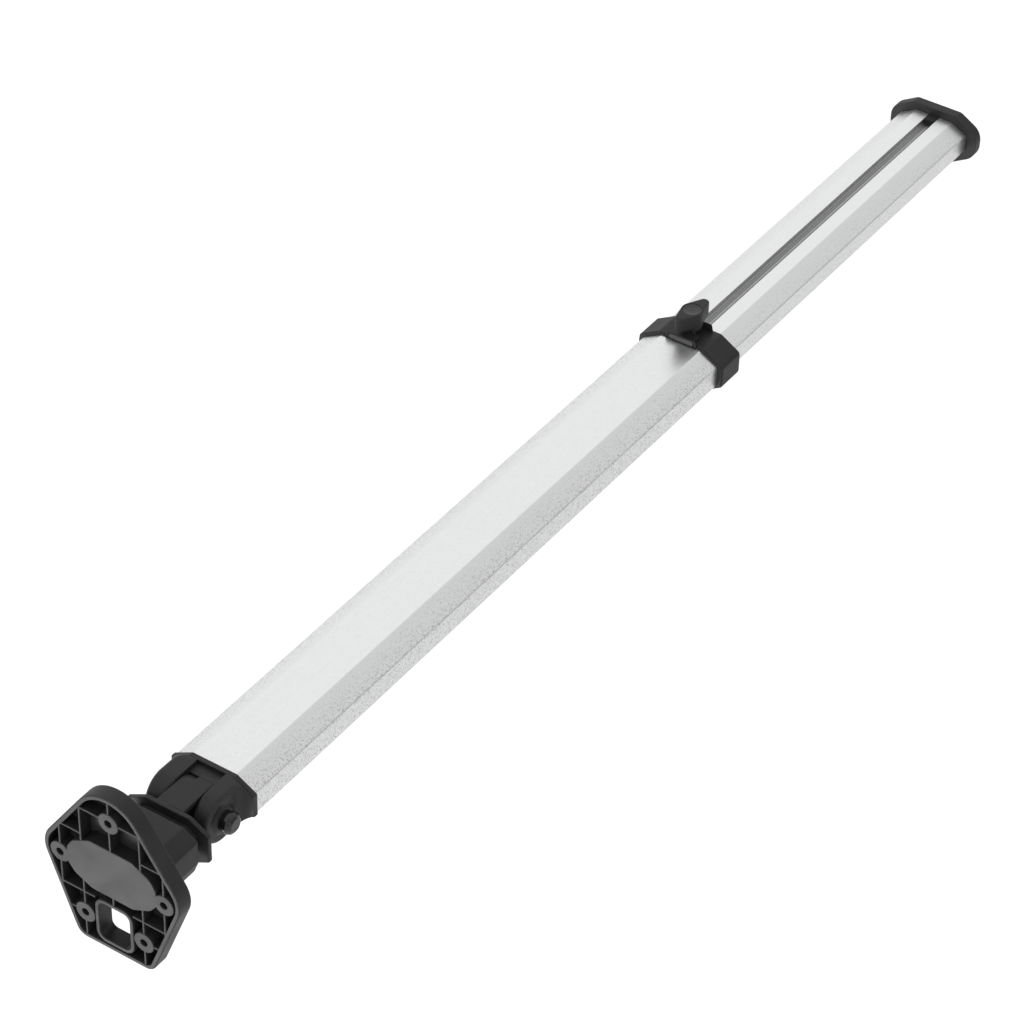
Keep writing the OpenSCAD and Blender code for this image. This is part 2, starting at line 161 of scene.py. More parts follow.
def arcs(q, r, before, after, steps):
    """Arcs that round the corners q to the radii r. With a and b the directions to the neighbours and
    h half the angle between them, the centre is q + unit(a + b) r / sin h, and the arc runs between
    the feet of the centre on the two edges."""
    a, b = unit(before - q), unit(after - q)
    h = np.arccos(np.clip((a * b).sum(1), -1, 1)) / 2
    inward = unit(a + b) / np.sin(h)[:, None]
    first, last = a / np.tan(h)[:, None] - inward, b / np.tan(h)[:, None] - inward
    start = np.arctan2(first[:, 1], first[:, 0])
    sweep = (np.arctan2(last[:, 1], last[:, 0]) - start + np.pi) % (2 * np.pi) - np.pi
    turn = start[:, None] + sweep[:, None] * np.linspace(0, 1, steps + 1)
    centre = q + inward * r[:, None]
    return centre[:, None] + r[:, None, None] * np.stack([np.cos(turn), np.sin(turn)], -1)


def outline(corners, inset=0.0, steps=6):
    """Closed outline through rows of across, up, radius, moved in by inset: a corner moves
    inset / sin h along its bisector, and the radius of a hollow corner grows where that of a
    standing one shrinks."""
    c = np.asarray(corners, float)
    q, before, after = c[:, :2], np.roll(c[:, :2], 1, 0), np.roll(c[:, :2], -1, 0)
    a, b = unit(before - q), unit(after - q)
    h = np.arccos(np.clip((a * b).sum(1), -1, 1)) / 2
    area = (q[:, 0] * after[:, 1] - q[:, 1] * after[:, 0]).sum()
    stands = np.sign((a[:, 1] * b[:, 0] - a[:, 0] * b[:, 1]) * area)
    moved = q + unit(a + b) * (stands * inset / np.sin(h))[:, None]
    r = np.maximum(c[:, 2] - stands * inset, 0.02)
    return arcs(moved, r, np.roll(moved, 1, 0), np.roll(moved, -1, 0), steps).reshape(-1, 2)


def track(rows, steps=4):
    """Open line through rows of depth, inset, radius with its inner corners rounded, as rows of
    depth, inset, edge value. The edge value, for edge wear and a painted edge highlight, is a half sine over
    each arc that bends the way most of them do."""
    c = np.array([tuple(row) + (0,) * (3 - len(row)) for row in rows], float)
    q, before, after = c[1:-1, :2], c[:-2, :2], c[2:, :2]
    bend = (q - before)[:, 0] * (after - q)[:, 1] - (q - before)[:, 1] * (after - q)[:, 0]
    worn_and_lit = np.sin(np.pi * np.linspace(0, 1, steps + 1)) * (np.sign(bend) == np.sign(bend.sum()))[:, None]
    line = arcs(q, np.maximum(c[1:-1, 2], 0.02), before, after, steps)
    line = np.concatenate([line, worn_and_lit[..., None]], -1).reshape(-1, 3)
    return np.vstack([[*c[0, :2], 0], line, [*c[-1, :2], 0]])


def stack(corners, rows, steps=6, order=(0, 1, 2)):
    """Rings of one outline carried along a track: ring k is the outline moved in by the track's
    inset at its depth. order says which of depth, across and up are x, y and z."""
    line = track(rows)
    rings = [np.insert(outline(corners, inset, steps), 0, depth, axis=1) for depth, inset, _ in line]
    return np.stack(rings)[..., list(order)], line[:, 2]


def turned(rows, centre=(0, 0), count=48, order=(0, 1, 2)):
    """Rings of a turned shape: ring k is centre + r (cos, sin) at its depth along the axis."""
    line, turn = track(rows), np.linspace(0, 2 * np.pi, count, endpoint=False)
    r = np.maximum(line[:, 1], 0.01)[:, None]
    depth = np.broadcast_to(line[:, :1], (len(line), count))
    rings = np.stack([depth, centre[0] + r * np.cos(turn), centre[1] + r * np.sin(turn)], -1)
    return rings[..., list(order)], line[:, 2]


def shell(rings, worn_and_lit=0.0, ends="closed"):
    """Skin over a stack of rings: four-sided faces join each ring to the next. A fan to the middle
    closes each end, or the last ring joins the first ("loop"), or the ends stay open for other
    faces to meet. The enclosed volume's sign turns the faces outwards."""
    m, n, _ = rings.shape
    i = np.arange(m if ends == "loop" else m - 1)[:, None]
    j = np.arange(n)[None]
    corner = lambda a, b: (a % m) * n + b % n
    quads = np.stack([corner(i, j), corner(i + 1, j), corner(i + 1, j + 1), corner(i, j + 1)], -1)
    quads = quads.reshape(-1, 4)
    points = np.vstack([rings.reshape(-1, 3), rings[0].mean(0), rings[-1].mean(0)])
    k = np.arange(n)
    low = np.stack([np.full(n, m * n), k, (k + 1) % n], -1)
    high = np.stack([np.full(n, m * n + 1), (m - 1) * n + (k + 1) % n, (m - 1) * n + k], -1)
    fans = np.vstack([low, high]) if ends != "loop" else np.zeros((0, 3), int)
    sides = points[np.vstack([quads[:, :3], quads[:, [0, 2, 3]], fans])]
    if np.einsum("ij,ij->", sides[:, 0], np.cross(sides[:, 1], sides[:, 2])) < 0:
        quads, fans = quads[:, ::-1], fans[:, ::-1]
    marks = np.broadcast_to(np.reshape(worn_and_lit, (-1, 1)), (m, n)) if np.ndim(worn_and_lit) < 2 else worn_and_lit
    marks = np.append(marks.ravel(), [0, 0])
    return points, quads.tolist() + (fans.tolist() if ends == "closed" else []), marks


def inside(points, loop):
    """Whether each point lies in a closed loop: a ray from it crosses the loop an odd number of times."""
    p, q = loop[None], np.roll(loop, -1, 0)[None]
    x, y = points[:, None, 0], points[:, None, 1]
    spans = (p[..., 1] > y) != (q[..., 1] > y)
    slope = np.where(spans, q[..., 1] - p[..., 1], 1.0)
    return (spans & (x < p[..., 0] + (q[..., 0] - p[..., 0]) * (y - p[..., 1]) / slope)).sum(1) % 2 == 1


def flat(edge, holes, depth, facing):
    """Flat face across the bar at depth: the triangles of a constrained Delaunay triangulation whose
    middles lie in the edge and outside the holes. facing is the sign of its normal."""
    loops = [edge, *holes]
    starts = np.cumsum([0] + [len(p) for p in loops])
    joins = [(s + k, s + (k + 1) % len(p)) for s, p in zip(starts, loops) for k in range(len(p))]
    found = delaunay_2d_cdt([tuple(p) for p in np.vstack(loops)], joins, [], 0, 1e-5)
    points, tris = np.array([tuple(p) for p in found[0]]), np.array(found[2])
    middle = points[tris].mean(1)
    keep = inside(middle, edge)
    for hole in holes:
        keep &= ~inside(middle, hole)
    tris = tris[keep]
    a, b, c = (points[tris[:, k]] for k in range(3))
    way = (b - a)[:, 0] * (c - a)[:, 1] - (b - a)[:, 1] * (c - a)[:, 0]
    tris = np.where((way * facing < 0)[:, None], tris[:, ::-1], tris)
    return np.insert(points, 0, depth, axis=1), tris.tolist(), np.zeros(len(points))


def put(name, parts, body, material, nodes=(), sharp=38, extra=None):
    """Puts shells and flat faces, in millimetres, into one mesh in metres; points that meet are
    merged, edges above the angle sharp stay hard, and large faces keep their own normals. extra
    holds further values for its points, by name."""
    points = np.vstack([p[0] for p in parts]) * 0.001
    starts = np.cumsum([0] + [len(p[0]) for p in parts])
    faces = [[int(s) + k for k in f] for s, p in zip(starts, parts) for f in p[1]]
    mesh = bpy.data.meshes.new(name)
    mesh.from_pydata(points.tolist(), [], faces)
    marks = {"edge": np.concatenate([p[2] for p in parts]), **(extra or {})}
    for label, values in marks.items():
        mesh.attributes.new(label, "FLOAT", "POINT").data.foreach_set("value", values)
    work = bmesh.new()
    work.from_mesh(mesh)
    bmesh.ops.remove_doubles(work, verts=work.verts, dist=2e-6)
    bmesh.ops.delete(work, geom=[v for v in work.verts if not v.link_faces], context="VERTS")
    work.to_mesh(mesh)
    work.free()
    mesh.shade_smooth()
    mesh.set_sharp_from_angle(angle=radians(sharp))
    mesh.materials.append(material)
    piece = bpy.data.objects.new(name, mesh)
    scene.collection.objects.link(piece)
    level = piece.modifiers.new("weighted", "WEIGHTED_NORMAL")
    level.keep_sharp = True
    level.weight = 60
    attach(piece, body)
    if nodes:
        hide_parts(*nodes)
    return piece


def new_group(name, inputs, outputs):
    """An empty shader node group with float or vector sockets, and its two end nodes."""
    group = bpy.data.node_groups.new(name, "ShaderNodeTree")
    for label, value in inputs:
        socket = group.interface.new_socket(label, in_out="INPUT", socket_type="NodeSocketFloat")
        socket.default_value = value
    for label in outputs:
        group.interface.new_socket(label, in_out="OUTPUT", socket_type="NodeSocketFloat")
    return group, group.nodes.new("NodeGroupInput"), group.nodes.new("NodeGroupOutput")


def node(tree, kind, settings=(), **links):
    """A node with its settings and inputs: a value goes on the socket, an output is linked to it."""
    made = tree.nodes.new("ShaderNode" + kind)
    for label, value in dict(settings).items():
        setattr(made, label, value)
    for label, value in links.items():
        by_number = label[0] == "n" and label[1:].isdigit()
        socket = made.inputs[int(label[1:]) if by_number else label.replace("_", " ")]
        if isinstance(value, bpy.types.NodeSocket):
            tree.links.new(value, socket)
        else:
            socket.default_value = value
    return made


# Moulded skin: an even fine grain, slow cloudy changes of shade, and a few lighter specks of dust.
grain_group, grain_in, grain_out = new_group(
    "moulded_skin", [("Grain Scale", 2600.0), ("Cloud Scale", 45.0)], ["Height", "Cloud", "Speck"])
spot = node(grain_group, "TexCoord").outputs["Object"]
grain_scale, cloud_scale = grain_in.outputs["Grain Scale"], grain_in.outputs["Cloud Scale"]
fine = node(grain_group, "TexNoise", Vector=spot, Scale=grain_scale, Detail=2.0, Roughness=0.6)
cells = node(grain_group, "TexVoronoi", Vector=spot, Scale=grain_scale)
height = node(grain_group, "Math", {"operation": "MULTIPLY_ADD"}, n0=cells.outputs["Distance"], n1=0.6,
              n2=fine.outputs["Fac"])
cloud = node(grain_group, "TexNoise", Vector=spot, Scale=cloud_scale, Detail=4.0, Roughness=0.55)
speck = node(grain_group, "MapRange", {"interpolation_type": "SMOOTHSTEP"}, Value=fine.outputs["Fac"])
speck.inputs["From Min"].default_value, speck.inputs["From Max"].default_value = 0.60, 0.78
grain_group.links.new(height.outputs[0], grain_out.inputs["Height"])
grain_group.links.new(cloud.outputs["Fac"], grain_out.inputs["Cloud"])
grain_group.links.new(speck.outputs["Result"], grain_out.inputs["Speck"])

# Edge wear and painted edge highlight: the mesh's own edge value on rounded edges, broken up by noise, marks
# where the edges are painted lighter.
edge_wear_and_highlight_group, edge_wear_and_highlight_in, edge_wear_and_highlight_out = new_group("edge_wear_and_highlight", [("Amount", 0.6), ("Scale", 380.0)], ["Mask"])
edge_value = node(edge_wear_and_highlight_group, "Attribute", {"attribute_name": "edge"}).outputs["Fac"]
breaks = node(edge_wear_and_highlight_group, "TexNoise", Vector=node(edge_wear_and_highlight_group, "TexCoord").outputs["Object"],
              Scale=edge_wear_and_highlight_in.outputs["Scale"], Detail=3.0, Roughness=0.6)
patch = node(edge_wear_and_highlight_group, "MapRange", Value=breaks.outputs["Fac"])
patch.inputs["From Min"].default_value, patch.inputs["From Max"].default_value = 0.38, 0.66
rubbed_and_lit = node(edge_wear_and_highlight_group, "Math", {"operation": "MULTIPLY"}, n0=edge_value, n1=patch.outputs["Result"])
mask = node(edge_wear_and_highlight_group, "Math", {"operation": "MULTIPLY", "use_clamp": True}, n0=rubbed_and_lit.outputs[0],
            n1=edge_wear_and_highlight_in.outputs["Amount"])
edge_wear_and_highlight_group.links.new(mask.outputs[0], edge_wear_and_highlight_out.inputs["Mask"])


def use_group(tree, group, **values):
    """Places a node group in a material with its own values."""
    made = tree.nodes.new("ShaderNodeGroup")
    made.node_tree = group
    for label, value in values.items():
        made.inputs[label.replace("_", " ")].default_value = value
    return made


def mix(tree, mask, low, high):
    """Colour mix from low to high by the mask; low and high are colours or outputs."""
    made = node(tree, "Mix", {"data_type": "RGBA"})
    for socket, value in ((made.inputs[0], mask), (made.inputs[6], low), (made.inputs[7], high)):
        if isinstance(value, bpy.types.NodeSocket):
            tree.links.new(value, socket)
        else:
            socket.default_value = value
    return made.outputs[2]


def grey(value, warm=0.0):
    """A near-neutral colour of one value, a little warm or cold."""
    return (value * (1 + warm), value, value * (1 - warm), 1)


def spread(tree, value, low, high):
    """The value's range 0.3 to 0.7 spread over low to high."""
    made = node(tree, "MapRange", Value=value)
    made.inputs["From Min"].default_value, made.inputs["From Max"].default_value = 0.3, 0.7
    made.inputs["To Min"].default_value, made.inputs["To Max"].default_value = low, high
    return made.outputs["Result"]


def moulded(name, dark, light, rough=(0.42, 0.54), bump=0.25, scale=2600.0, worn_and_lit=0.5, sheen_level=0.5):
    """Moulded plastic: two near shades by cloud and speck, lighter on its edges by wear and by a painted edge
    highlight.
    """
    material = bpy.data.materials.new(name)
    material.use_nodes = True
    tree = material.node_tree
    surface = tree.nodes["Principled BSDF"]
    skin = use_group(tree, grain_group, Grain_Scale=scale)
    edges = use_group(tree, edge_wear_and_highlight_group, Amount=worn_and_lit)
    base = mix(tree, spread(tree, skin.outputs["Cloud"], 0, 1), grey(dark, -0.01), grey(light, -0.01))
    base = mix(tree, skin.outputs["Speck"], base, grey(light * 1.9, -0.01))
    # Edges painted lighter by the edge value: rubbed plastic and a painted edge highlight.
    base = mix(tree, edges.outputs["Mask"], base, grey(light * 2.6, -0.01))
    tree.links.new(base, surface.inputs["Base Color"])
    tree.links.new(spread(tree, skin.outputs["Cloud"], *rough), surface.inputs["Roughness"])
    surface.inputs["Specular IOR Level"].default_value = sheen_level
    relief = node(tree, "Bump", Strength=bump, Distance=0.00005, Height=skin.outputs["Height"])
    tree.links.new(relief.outputs["Normal"], surface.inputs["Normal"])
    return material


black_plastic = moulded("black_plastic", 0.018, 0.026, sheen_level=0.34)


def crossings(corners, along, at, inset):
    """Where a straight line parallel to an axis cuts the outline moved in by inset: lowest and
    highest value of the other coordinate, from the points where the outline passes the line."""
    ring = outline(corners, inset, 12)
    p, q = ring, np.roll(ring, -1, 0)
    cut = (p[:, along] - at) * (q[:, along] - at) < 0
    share = (at - p[cut, along]) / (q[cut, along] - p[cut, along])
    other = p[cut, 1 - along] + share * (q[cut, 1 - along] - p[cut, 1 - along])
    return other.min(), other.max()


def bar_corners(y0, z0, y1, z1, r):
    """Corners of an upright rectangle from one corner to the opposite one."""
    return [(y0, z0, r), (y1, z0, r), (y1, z1, r), (y0, z1, r)]


def circle(centre, r, count=48):
    """Points round a circle."""
    turn = np.linspace(0, 2 * np.pi, count, endpoint=False)
    return np.stack([centre[0] + r * np.cos(turn), centre[1] + r * np.sin(turn)], -1)


# The tray: back face, rounded rim and floor in one skin, with the eye and the screw holes through it.
tray_rows = [(DEPTH, 3), (DEPTH, 0, 1.2), (0, 0, 1.2), (0, RIM, 0.5), (FLOOR, RIM + 0.15, 0.8),
             (FLOOR, RIM + 2)]
tray = shell(*stack(PLATE, tray_rows, steps=14), ends="open")
back = flat(outline(PLATE, 3, 14), [circle(c, HOLE_R) for c in HOLES] + [outline(EYE)], DEPTH, 1)
openings = [circle(c, BOSS_R + 0.2) for c in HOLES] + [outline(EYE, -3.1)]
ground = flat(outline(PLATE, RIM + 2, 14), openings, FLOOR, -1)
eye_rows = [(DEPTH, 0), (0, 0, 0.7), (0, -3, 0.8), (FLOOR, -3.1)]
eye_wall = shell(*stack(EYE, eye_rows), ends="open")
boss_rows = [(DEPTH, HOLE_R), (0, HOLE_R, 0.5), (0, BOSS_R, 0.7), (FLOOR, BOSS_R + 0.2)]
bosses = [shell(*turned(boss_rows, centre), ends="open") for centre in HOLES]
put("foot_plate", [tray, back, ground, eye_wall, *bosses], "foot", black_plastic,
    ["foot_base"])

# Ribs: thin drafted walls with rounded tops, cut short at the bosses, the pad and the eye.
RIB_Y, OUTER_RIB_Y, RIB_CORNER, BOSS_GAP = 23.8, 41.5, 0.6, 7.4
TOP_BOSS_Z, LOW_BOSS_Z = HOLES[0][1], HOLES[3][1]
LEVEL_RIBS = [(48, 7.2, RIB_Y), (25.5, RIB_Y, OUTER_RIB_Y), (-25.5, 15, 42.2), (LOW_BOSS_Z, 31, 37.2)]
ribs = []
for y in (-RIB_Y, RIB_Y, -OUTER_RIB_Y, OUTER_RIB_Y, 0.0):
    low, high = crossings(PLATE, 0, y or 0.001, RIM / 2)
    low = low if y else -25.5
    boss_z = {RIB_Y: LOW_BOSS_Z, OUTER_RIB_Y: 0, 0.0: TOP_BOSS_Z}[abs(y)]
    ribs += [bar_corners(y - RIB / 2, low, y + RIB / 2, boss_z - BOSS_GAP, RIB_CORNER),
             bar_corners(y - RIB / 2, boss_z + BOSS_GAP, y + RIB / 2, high, RIB_CORNER)]
level_ribs = []
for s in (-1, 1):
    for z, a, b in LEVEL_RIBS:
        y0, y1 = sorted((s * a, s * b))
        level_ribs.append(bar_corners(y0, z - RIB / 2, y1, z + RIB / 2, RIB_CORNER))
rib_parts = [shell(*stack(c, [(FLOOR + 0.4, -0.2), (front, 0, 0.55), (front, RIB_CORNER)], 3))
             for front, group in ((0.30, ribs), (0.42, level_ribs)) for c in group]
put("foot_ribs", rib_parts, "foot", black_plastic, ["foot_base"])

def both_sides(half):
    """A half outline, listed from the top down, and its mirror image."""
    return half + [(-y, z, r) for y, z, r in reversed(half)]


# Pad: a flush island of solid plastic between the side bosses, eight-sided with bowed slopes.
PAD = [(17, 23.4, 7), (31.5, 15.6, 12), (35.8, 8, 4), (35.8, -4.5, 4), (30.5, -11.6, 10), (16.5, -18.4, 7)]
pad = shell(*stack(both_sides(PAD), [(FLOOR + 0.4, -0.3), (0.05, 0, 0.6), (0.05, 1.5)]))
put("foot_pad", [pad], "foot", black_plastic, ["foot_base"])

# ---------------------------------------------------------------- foot neck, flange and tongue
# The same moulding goes on behind the plate: a stout neck, a groove, an eight-sided flange the size
# of the tube, and the hinge's tongue, a round knuckle with a step on its top that meets the stop.

NECK = [(19.3, 16.3, 3), (30.6, 10.1, 3.5), (30.6, -8, 3), (26.6, -18.7, 3)]
CORE = [(16, 10.5, 2), (24, 6, 2), (24, -6, 2), (20, -13, 2)]
FLANGE = [(17.75, 17.25, 2.5), (33.25, 8.75, 2.5), (33.25, -13, 2.5), (17.75, -21.5, 3.5)]
PIN_X, KNUCKLE_R, TONGUE = 83.0, 16.4, 11.0

neck = shell(*stack(both_sides(NECK), [(DEPTH, -3), (DEPTH, 0, 2.6), (50, 0, 1.4), (50, 7)]))
core = shell(*stack(both_sides(CORE), [(49.8, 0), (56.7, 0)]))
flange = shell(*stack(both_sides(FLANGE), [(56.5, 6), (56.5, 0, 0.9), (60, 0, 0.9), (60, 6)]))
put("foot_neck", [neck, core, flange], "foot", black_plastic, ["foot_base"])

ACROSS = (1, 0, 2)
knuckle_end = PIN_X + KNUCKLE_R
D_SHAPE = [(59.8, -KNUCKLE_R, 0.5), (knuckle_end, -KNUCKLE_R, KNUCKLE_R - 0.1),
           (knuckle_end, KNUCKLE_R, KNUCKLE_R - 0.1), (59.8, KNUCKLE_R, 0.5)]
tongue = shell(*stack(D_SHAPE, [(-8, 5), (-8, 0, 0.9), (TONGUE, 0, 0.9), (TONGUE, 5)], 14, ACROSS))
cheek = shell(*turned([(-7, 0), (-7, 13), (-TONGUE, 12.8, 0.5), (-TONGUE, 0)], (PIN_X, 0), 48, ACROSS))
STEP = [(59.8, 13.5, 0.5), (91.5, 13.5, 0.5), (91.5, 17.2, 1.0), (59.8, 17.2, 0.5)]
step = shell(*stack(STEP, [(-TONGUE, 1.2), (-TONGUE, 0, 0.6), (1.5, 0, 0.9), (1.5, 1.2)], 4, ACROSS))
put("foot_tongue", [tongue, cheek, step], "foot", black_plastic, ["foot_base"])

# ---------------------------------------------------------------- hinge pin and its bushes, washer and nut
# A steel pin with a round head, painted gloss black, goes through both ears and two flanged bronze
# bushes in the tongue. A plain washer and nut hold it in the recess of the far ear.


def metal(name, colour, rough, bump=0.15, scale=1800.0, metallic=1.0):
    """Bright metal: turning or rolling marks as fine noise in the colour, the roughness and the relief."""
    material = bpy.data.materials.new(name)
    material.use_nodes = True
    tree = material.node_tree
    surface = tree.nodes["Principled BSDF"]
    skin = use_group(tree, grain_group, Grain_Scale=scale, Cloud_Scale=120.0)
    darker = tuple(c * 0.8 for c in colour[:3]) + (1,)
    base = mix(tree, spread(tree, skin.outputs["Cloud"], 0, 1), darker, colour)
    tree.links.new(base, surface.inputs["Base Color"])
    tree.links.new(spread(tree, skin.outputs["Cloud"], *rough), surface.inputs["Roughness"])
    surface.inputs["Metallic"].default_value = metallic
    relief = node(tree, "Bump", Strength=bump, Distance=0.00003, Height=skin.outputs["Height"])
    tree.links.new(relief.outputs["Normal"], surface.inputs["Normal"])
    return material


bronze = metal("bronze", (0.62, 0.45, 0.24, 1), (0.3, 0.42))
steel = metal("zinc_steel", (0.60, 0.61, 0.62, 1), (0.28, 0.4))


def refinish(material, *names):
    """Gives CAD nodes a material in place of their plain one."""
    for name in names:
        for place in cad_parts[name].material_slots:
            place.material = material


refinish(bronze, "bush_left", "bush_right")
refinish(steel, "pin_washer", "pin_nut", "housing_screws", "stop_rivet", "collar_screws", "end_screws",
         "clamp_screw", "clamp_shoe")

gloss_black = moulded("gloss_black", 0.010, 0.016, (0.14, 0.20), 0.03, 900.0, 0.15, 0.6)
pin_rows = [(-34.5, 0), (-34.5, 4.9, 1.5), (-33.2, 6.9, 1.6), (-31.0, 8.0, 1.6), (-28.6, 8.0, 0.8),
            (-28.2, 7.3, 0.2), (-25.6, 7.3, 0.3), (-25.6, 5), (23.9, 5, 0.7), (23.9, 0)]
put("hinge_pin_turned", [shell(*turned(pin_rows, (PIN_X, 0), 64, ACROSS))], "bar", gloss_black,
    ["hinge_pin"])

# ---------------------------------------------------------------- hinge housing
# A black moulding pushed into the tube's end and screwed to it from below: two thick round ears,
# which sweep out to an eight-sided rim that the tube butts against, and a plug inside the tube.

EAR_R, EAR_IN, EAR_OUT = 18.0, 11.5, 24.5
NUT_EAR_OUT, FACE_R = 26.6, 13.6
RIM_X0, RIM_X1, RIM_H, RIM_W = 103.3, 107.0, 17.55, 33.75
FLARE_X, FLARE_R = 95.4, 8.0


def flare(x):
    """Share of the way from the ear's side to the rim: a quarter circle hollow, 1 - sqrt(1 - s s)."""
    s = np.clip((x - FLARE_X) / FLARE_R, 0, 0.99995)
    return (1 - np.sqrt(1 - s * s)) / (1 - np.sqrt(1 - 0.99 ** 2))


def ear(side):
    """One ear as rings round its side view. The side view runs along the top, round the pin, back
    along the bottom and up the rim; a ring's point lies inset from it. Across the bar a point is
    at (1 - f) ear + f rim, with f the flare's share at its x. Past the edge, the rings of the outer
    face turn into circles round the pin, and a turned boss closes it."""
    out_y = EAR_OUT if side < 0 else NUT_EAR_OUT
    ease = FLARE_X + (RIM_X0 - FLARE_X) * np.sin(np.linspace(0, np.pi / 2, 12))
    top_x = np.concatenate([ease[::-1], np.linspace(FLARE_X, PIN_X, 6)[1:]])
    arc = np.linspace(np.pi / 2, 3 * np.pi / 2, 34)[1:-1]
    up = np.linspace(-1, 1, 18)[1:-1]
    blank = np.zeros
    kind = np.concatenate([blank(len(top_x)), blank(len(arc)) + 1, blank(len(top_x)) + 2, blank(len(up)) + 3])
    along = np.concatenate([top_x, arc, top_x[::-1], up])
    top_h = EAR_R + (RIM_H - EAR_R) * np.clip((along - PIN_X) / (RIM_X0 - PIN_X), 0, 1)

    def ring(inset):
        reach = EAR_R - inset
        x = np.select([kind == 1, kind == 3], [PIN_X + reach * np.cos(along), RIM_X0 + 0 * along], along)
        z = np.select([kind == 0, kind == 1, kind == 2, kind == 3],
                      [top_h - inset, reach * np.sin(along), inset - top_h, along * (RIM_H - inset)])
        return x, z

    # Edge of the ear and edge of the rim, as rows of across and inset, with equal numbers of points
    round_in, round_out = np.linspace(0, np.pi / 2, 6), np.linspace(0, np.pi / 2, 9)
    soft, lead = 3.2, 2.6
    ear_y = np.concatenate([EAR_IN + lead * (1 - np.cos(round_in)), [16.0],
                            out_y - soft + soft * np.sin(round_out), [out_y]])
    ear_in = np.concatenate([lead * (1 - np.sin(round_in)), [0], soft * (1 - np.cos(round_out)), [3.8]])
    share = np.clip(np.linspace(-0.08, 1.08, 9), 0, 1)
    rim_y = np.concatenate([EAR_IN + 0.4 * (1 - np.cos(round_in)), [15.0], 18.25 + 15.0 * share,
                            [RIM_W - 0.5]])
    rim_in = np.concatenate([0.4 * (1 - np.sin(round_in)), [0], 0.5 + 8.5 * share, [9.6]])
    rings, marks = [], []
    for k, (ye, ie, yr, ir) in enumerate(zip(ear_y, ear_in, rim_y, rim_in)):
        x, _ = ring(ie)
        f = np.clip(flare(x), 0, 1)
        # The inner edge's rounding grows from small at the rim to its full lead in front
        front = np.clip((92 - x) / 22, 0.12, 1) if k < 6 else 1.0
        inset = (1 - f) * ie * front + f * ir
        x, z = ring(inset)
        y = (1 - f) * (EAR_IN + (ye - EAR_IN) * front) + f * yr
        rings.append(np.stack([x, y, z], -1))
        marks.append(np.where(f < 0.3, np.sin(np.pi * np.clip(ie / soft, 0, 1)), 0))
    # Outer face: from the last ring to a circle round the pin
    last = rings[-1]
    angle = np.arctan2(last[:, 2], last[:, 0] - PIN_X)
    for t in np.linspace(0, 1, 16)[1:] ** 1.7:
        x = (1 - t) * last[:, 0] + t * (PIN_X + FACE_R * np.cos(angle))
        z = (1 - t) * last[:, 2] + t * FACE_R * np.sin(angle)
        y = out_y + (RIM_W - 0.5 - out_y) * np.clip(flare(x), 0, 1)
        rings.append(np.stack([x, y, z], -1))
        marks.append(0 * x)
    if side < 0:
        rows = [(out_y, FACE_R), (out_y, 11.2, 2.0), (out_y + 1.3, 8.6, 1.6), (out_y + 1.3, 3)]
    else:
        rows = [(out_y, FACE_R), (out_y, 10.4, 0.6), (17.5, 10.4, 0.3), (17.5, 5.2)]
    for y, r, w in track(rows)[1:]:
        rings.append(np.stack([PIN_X + r * np.cos(angle), 0 * angle + y, r * np.sin(angle)], -1))
        marks.append(0 * angle + w)
    # Inner face: one ring shrinks to the pin's axis
    x, z = ring(9.0)
    inner = np.stack([x, 0 * x + EAR_IN, z], -1)
    rings.insert(0, inner)
    marks.insert(0, 0 * x)
    rings = np.stack(rings)
    rings[..., 1] *= side
    return shell(rings, np.stack(marks))


def octagon(w, h, cut_y, cut_z, r):
    """Corners of an eight-sided section that loses cut_y across and cut_z up at each corner."""
    quarter = [(w / 2, h / 2 - cut_z), (w / 2 - cut_y, h / 2)]
    half = quarter + [(-y, z) for y, z in reversed(quarter)]
    return [(y, z, r) for y, z in half] + [(-y, -z, r) for y, z in half]


rim_section = octagon(2 * RIM_W, 2 * RIM_H, 15.5, 8.5, 1.2)
rim_band = shell(*stack(rim_section, [(RIM_X0, 3), (RIM_X0, 0, 0.6), (RIM_X1, 0, 0.5), (RIM_X1, 3)]))
# Shelf over the knuckle, and the stop that the step meets; both are hollowed to clear the knuckle
clear = KNUCKLE_R + 0.4


def over_knuckle(x0, x1, z1, y0, y1):
    """A block between y0 and y1 whose top is level at z1 and whose underside is the round
    z = sqrt(clear^2 - (x - pin)^2), or the level 11 past it."""
    x = np.linspace(x0, x1, 14)
    low = np.maximum(np.sqrt(np.maximum(clear ** 2 - (x - PIN_X) ** 2, 0)), 11)
    side_view = np.concatenate([np.stack([x, low], -1), [(x1, z1), (x0 + 0.5, z1), (x0, z1 - 0.5)]])
    rows = [np.insert(side_view, 1, y, axis=1) for y in (y0, y1)]
    return shell(np.stack(rows), 0.0)


shelf = over_knuckle(94.0, RIM_X0 + 0.2, 14.2, -EAR_IN - 0.3, EAR_IN + 0.3)
stop = over_knuckle(91.8, 96.0, 16.0, -EAR_IN - 0.3, 1.2)
plug = shell(*stack(octagon(61.2, 30.7, 14.3, 7.9, 1), [(RIM_X1 - 0.5, 0), (145, 0, 1.5), (145, 4)]))
put("hinge_housing_moulding", [ear(-1), ear(1), rim_band, shelf, stop, plug], "bar",
    black_plastic, ["hinge_housing"])

# ---------------------------------------------------------------- outer tube
# A wide eight-sided aluminium extrusion, blasted and clear anodised. The die leaves faint lines
# along it, and the blasting a fine sparkle.

